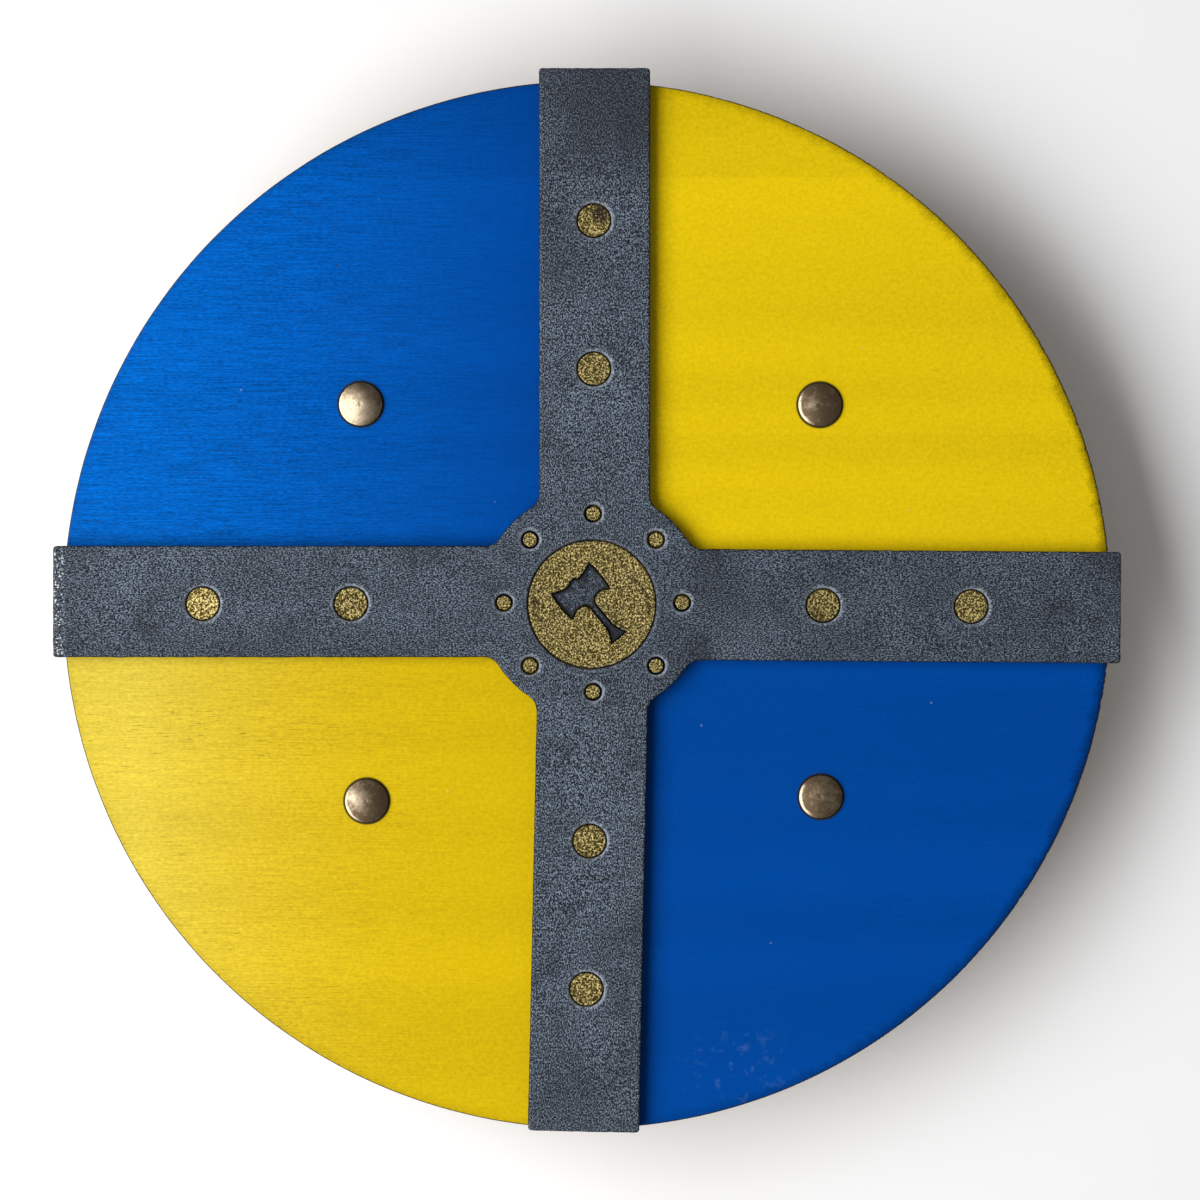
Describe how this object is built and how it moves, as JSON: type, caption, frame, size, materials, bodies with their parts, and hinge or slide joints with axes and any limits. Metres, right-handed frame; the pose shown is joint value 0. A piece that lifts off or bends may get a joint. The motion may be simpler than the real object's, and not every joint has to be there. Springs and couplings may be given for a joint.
{
  "type": "wooden toy round shield",
  "caption": "Round plywood toy shield in painted quarters, with an inlaid foam cross, cap rivets and two arm straps on its back.",
  "frame": {"origin": "on the ground below the middle of the board, with the shield lying face up on the crowns of its two straps", "axes": "+Z out of the painted front, +Y to the shield's top, +X to its right seen from the front"},
  "size_m": [0.3558, 0.3547, 0.0443],
  "materials": {
    "painted_plywood": "satin",
    "grey_foam": "matte",
    "gold_foam": "satin",
    "antique_brass": "satin",
    "strap_leather": "satin"
  },
  "bodies": {
    "root": {"board": "painted_plywood", "foam_cross": "grey_foam", "medallion": "gold_foam", "axe_inlay": "grey_foam", "arm_disc_right_inner": "gold_foam", "arm_disc_right_outer": "gold_foam", "arm_disc_top_inner": "gold_foam", "arm_disc_top_outer": "gold_foam", "arm_disc_left_inner": "gold_foam", "arm_disc_left_outer": "gold_foam", "arm_disc_bottom_inner": "gold_foam", "arm_disc_bottom_outer": "gold_foam", "ring_disc_1": "gold_foam", "ring_disc_2": "gold_foam", "ring_disc_3": "gold_foam", "ring_disc_4": "gold_foam", "ring_disc_5": "gold_foam", "ring_disc_6": "gold_foam", "ring_disc_7": "gold_foam", "ring_disc_8": "gold_foam", "rivet_upper_left": "antique_brass", "rivet_back_upper_left": "antique_brass", "rivet_upper_right": "antique_brass", "rivet_back_upper_right": "antique_brass", "rivet_lower_left": "antique_brass", "rivet_back_lower_left": "antique_brass", "rivet_lower_right": "antique_brass", "rivet_back_lower_right": "antique_brass", "strap_left": "strap_leather", "strap_right": "strap_leather"}
  },
  "joints": []
}
